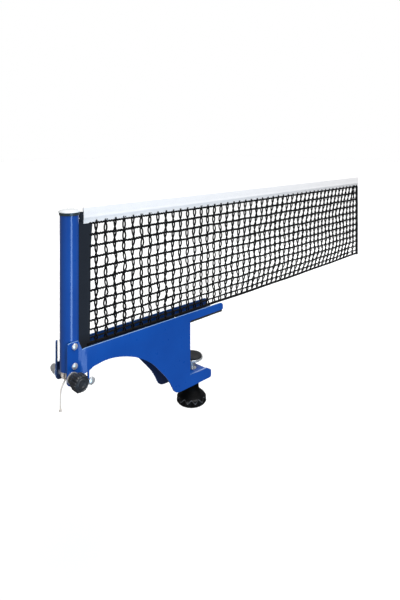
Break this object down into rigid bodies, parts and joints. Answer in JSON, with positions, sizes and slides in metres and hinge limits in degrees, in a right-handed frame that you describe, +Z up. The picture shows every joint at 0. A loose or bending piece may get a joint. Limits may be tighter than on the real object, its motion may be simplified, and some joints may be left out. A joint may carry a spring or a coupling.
{
  "type": "table tennis net clamp",
  "caption": "Screw clamp for a table tennis table edge, with its slotted net post, cord tension spindle and a panel of taped net.",
  "frame": {"origin": "centre of the upper jaw pad's underside, where it rests on the table top", "axes": "+X runs along the net away from the post, +Y points away from the front side plate, +Z is up"},
  "size_m": [0.6257, 0.0562, 0.2611],
  "materials": {
    "blue_paint": "glossy enamel",
    "zinc": "bright zinc plate",
    "cap_plastic": "moulded",
    "black_plastic": "glossy moulded",
    "grey_plastic": "satin moulded",
    "rubber": "matte",
    "net_fabric": "woven polyester",
    "net_cord": "knotted polyester cord",
    "white_tape": "woven cotton",
    "white_cord": "braided"
  },
  "bodies": {
    "bracket": {"side_plate_front": "blue_paint", "side_plate_back": "blue_paint", "upper_jaw_plate": "blue_paint", "jaw_back_plate": "blue_paint", "lower_jaw_plate": "blue_paint", "upper_jaw_pad": "rubber", "threaded_bush": "zinc", "post_tube": "blue_paint", "post_cap": "cap_plastic", "rivet_lower": "zinc", "rivet_upper": "zinc", "tension_cord": "white_cord", "cord_tail": "white_cord", "cord_end_knot": "white_cord", "net_side_band": "net_fabric", "net_rod": "zinc", "net_tape": "white_tape", "net_mesh": "net_cord", "net_bottom_cord": "net_cord", "net_far_band": "net_fabric", "lug_screw": "zinc"},
    "spindle": {"tension_spindle": "zinc", "washer_front": "zinc", "washer_back": "zinc", "tension_knob": "grey_plastic", "dome_nut": "zinc", "cord_winding": "white_cord"},
    "pressure_foot": {"pressure_cup": "zinc", "pressure_pad": "rubber"},
    "screw": {"clamp_screw": "zinc", "screw_clip": "zinc", "hand_wheel": "black_plastic"}
  },
  "joints": [
    {"name": "spindle_turn", "type": "hinge", "parent": "bracket", "child": "spindle", "pos_m": [-0.1908, 0, -0.0136], "axis": [0, -1, 0], "range_deg": [-900, 180]},
    {"name": "screw_travel", "type": "slide", "parent": "bracket", "child": "pressure_foot", "axis": [0, 0, 1], "range_m": [-0.01, 0.0023]},
    {"name": "screw_turn", "type": "hinge", "parent": "pressure_foot", "child": "screw", "pos_m": [-0.0134, 0, -0.08], "axis": [0, 0, 1], "range_deg": [-2885, 667]}
  ],
  "couplings": [
    {"joint": "screw_turn", "follows": "screw_travel", "rad_per_m": 5026.5}
  ]
}
